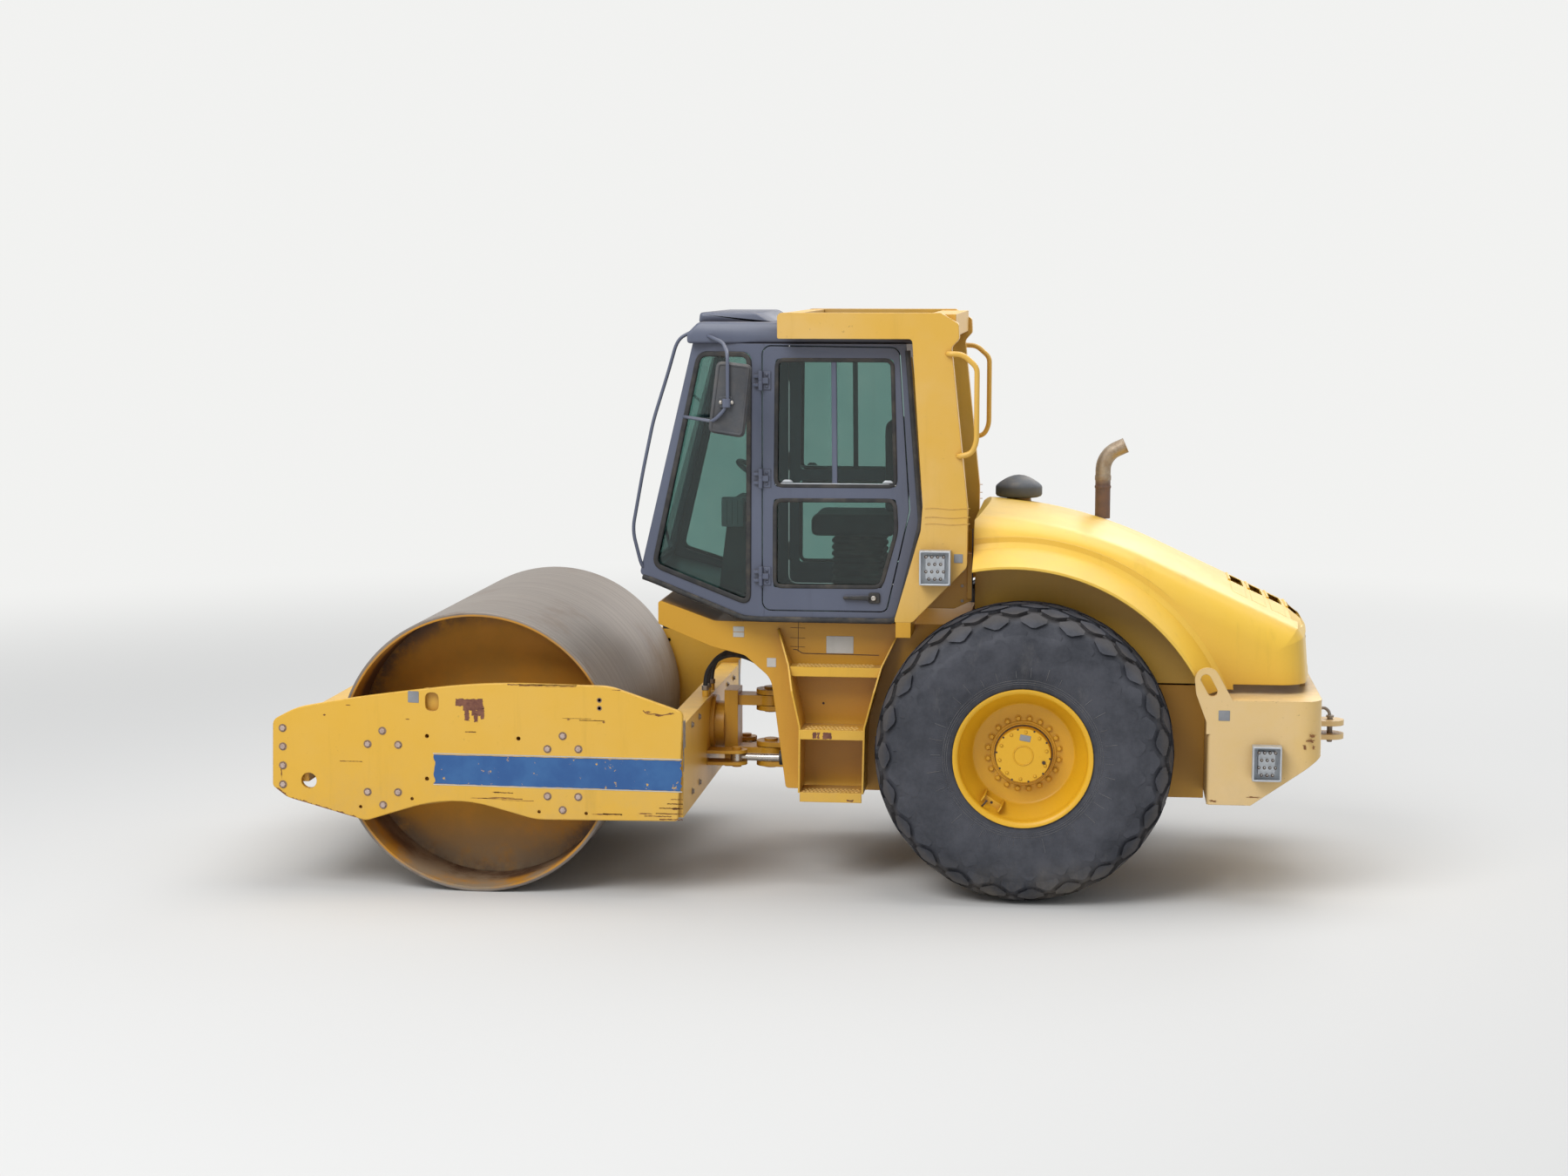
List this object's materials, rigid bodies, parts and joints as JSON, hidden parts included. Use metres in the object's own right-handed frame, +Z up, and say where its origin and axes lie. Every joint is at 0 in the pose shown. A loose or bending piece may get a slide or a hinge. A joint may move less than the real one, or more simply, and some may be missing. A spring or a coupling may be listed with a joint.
{
  "type": "road roller",
  "caption": "Articulated single drum road roller with a smooth steel drum, closed cab with roll-over frame, rubber rear tyres, lifting hood and a heavy tail box.",
  "frame": {"origin": "on the ground, half way along and across the machine", "axes": "+Z up, -X to the front where the drum is, -Y to the machine's left side"},
  "size_m": [5.6797, 2.26, 3.0578],
  "materials": {
    "yellow_paint": "satin",
    "grey_paint": "satin",
    "drum_steel": "satin",
    "dark_steel": "satin",
    "chrome_rod": "polished",
    "tyre_rubber": "matte",
    "black_rubber": "matte",
    "green_glass": "gloss",
    "black_plastic": "matte",
    "seat_cloth": "matte",
    "zinc": "matte"
  },
  "bodies": {
    "rear_frame": {"chassis": "yellow_paint", "pivot_ears": "dark_steel", "rear_axle": "dark_steel", "tanks": "dark_steel", "steps": "yellow_paint", "tail_weight": "yellow_paint", "tow_hitch": "dark_steel", "engine_block": "dark_steel", "cab_mounts": "black_rubber", "cab_shell": "grey_paint", "cab_roof": "grey_paint", "cab_glass": "green_glass", "seat": "seat_cloth", "steering_console": "black_plastic", "rops": "yellow_paint", "handrails": "yellow_paint", "mirrors": "black_plastic", "lamp_guards": "zinc", "hose_1": "black_rubber", "hose_2": "black_rubber", "hose_3": "black_rubber"},
    "drum_frame": {"side_plate_left": "yellow_paint", "side_plate_right": "yellow_paint", "front_beam": "yellow_paint", "rear_beam": "yellow_paint", "pivot_yoke": "dark_steel", "carriers": "yellow_paint", "buffers": "black_rubber", "scrapers": "black_rubber"},
    "drum": {"drum_shell": "drum_steel", "drum_discs": "yellow_paint"},
    "wheel_left": {"tyre_left": "tyre_rubber", "rim_left": "yellow_paint"},
    "wheel_right": {"tyre_right": "tyre_rubber", "rim_right": "yellow_paint"},
    "door_left": {"door_left": "grey_paint", "door_glass_left": "green_glass"},
    "door_right": {"door_right": "grey_paint", "door_glass_right": "green_glass"},
    "hood": {"hood_shell": "yellow_paint", "hood_grille": "black_plastic", "exhaust_stack": "dark_steel", "precleaner": "black_plastic"},
    "barrel_left": {"cylinder_barrel_left": "dark_steel"},
    "barrel_right": {"cylinder_barrel_right": "dark_steel"},
    "piston_rod_left": {"cylinder_rod_left": "chrome_rod"},
    "piston_rod_right": {"cylinder_rod_right": "chrome_rod"}
  },
  "joints": [
    {"name": "steer", "type": "hinge", "parent": "rear_frame", "child": "drum_frame", "pos_m": [-0.315, 0, 0.745], "axis": [0, 0, 1], "range_deg": [-35, 35], "deforming": ["hose_1", "hose_2", "hose_3"]},
    {"name": "drum_spin", "type": "hinge", "parent": "drum_frame", "child": "drum", "pos_m": [-1.75, 0, 0.75], "axis": [0, 1, 0], "continuous": true},
    {"name": "wheel_left_spin", "type": "hinge", "parent": "rear_frame", "child": "wheel_left", "pos_m": [1.12, -0.79, 0.78], "axis": [0, 1, 0], "continuous": true},
    {"name": "wheel_right_spin", "type": "hinge", "parent": "rear_frame", "child": "wheel_right", "pos_m": [1.12, 0.79, 0.78], "axis": [0, 1, 0], "continuous": true},
    {"name": "door_left_swing", "type": "hinge", "parent": "rear_frame", "child": "door_left", "pos_m": [-0.291, -0.636, 2.18], "axis": [0, 0, -1], "range_deg": [0, 85]},
    {"name": "door_right_swing", "type": "hinge", "parent": "rear_frame", "child": "door_right", "pos_m": [-0.291, 0.636, 2.18], "axis": [0, 0, 1], "range_deg": [0, 85]},
    {"name": "hood_lift", "type": "hinge", "parent": "rear_frame", "child": "hood", "pos_m": [2.585, 0, 1.114], "axis": [0, 1, 0], "range_deg": [0, 60]},
    {"name": "barrel_left_swing", "type": "hinge", "parent": "rear_frame", "child": "barrel_left", "pos_m": [0.2, -0.22, 0.6], "axis": [0, 0, 1], "range_deg": [-8.14, 8.14]},
    {"name": "rod_left_slide", "type": "slide", "parent": "barrel_left", "child": "piston_rod_left", "axis": [-0.9999, 0.0147, 0], "range_m": [-0.13, 0.13]},
    {"name": "barrel_right_swing", "type": "hinge", "parent": "rear_frame", "child": "barrel_right", "pos_m": [0.2, 0.22, 0.6], "axis": [0, 0, 1], "range_deg": [-8.14, 8.14]},
    {"name": "rod_right_slide", "type": "slide", "parent": "barrel_right", "child": "piston_rod_right", "axis": [-0.9999, -0.0147, 0], "range_m": [-0.13, 0.13]}
  ],
  "couplings": [
    {"joint": "barrel_left_swing", "follows": "steer", "ratio": 0.22812},
    {"joint": "rod_left_slide", "follows": "steer", "m_per_rad": -0.20861},
    {"joint": "barrel_right_swing", "follows": "steer", "ratio": 0.22812},
    {"joint": "rod_right_slide", "follows": "steer", "m_per_rad": 0.20861}
  ]
}
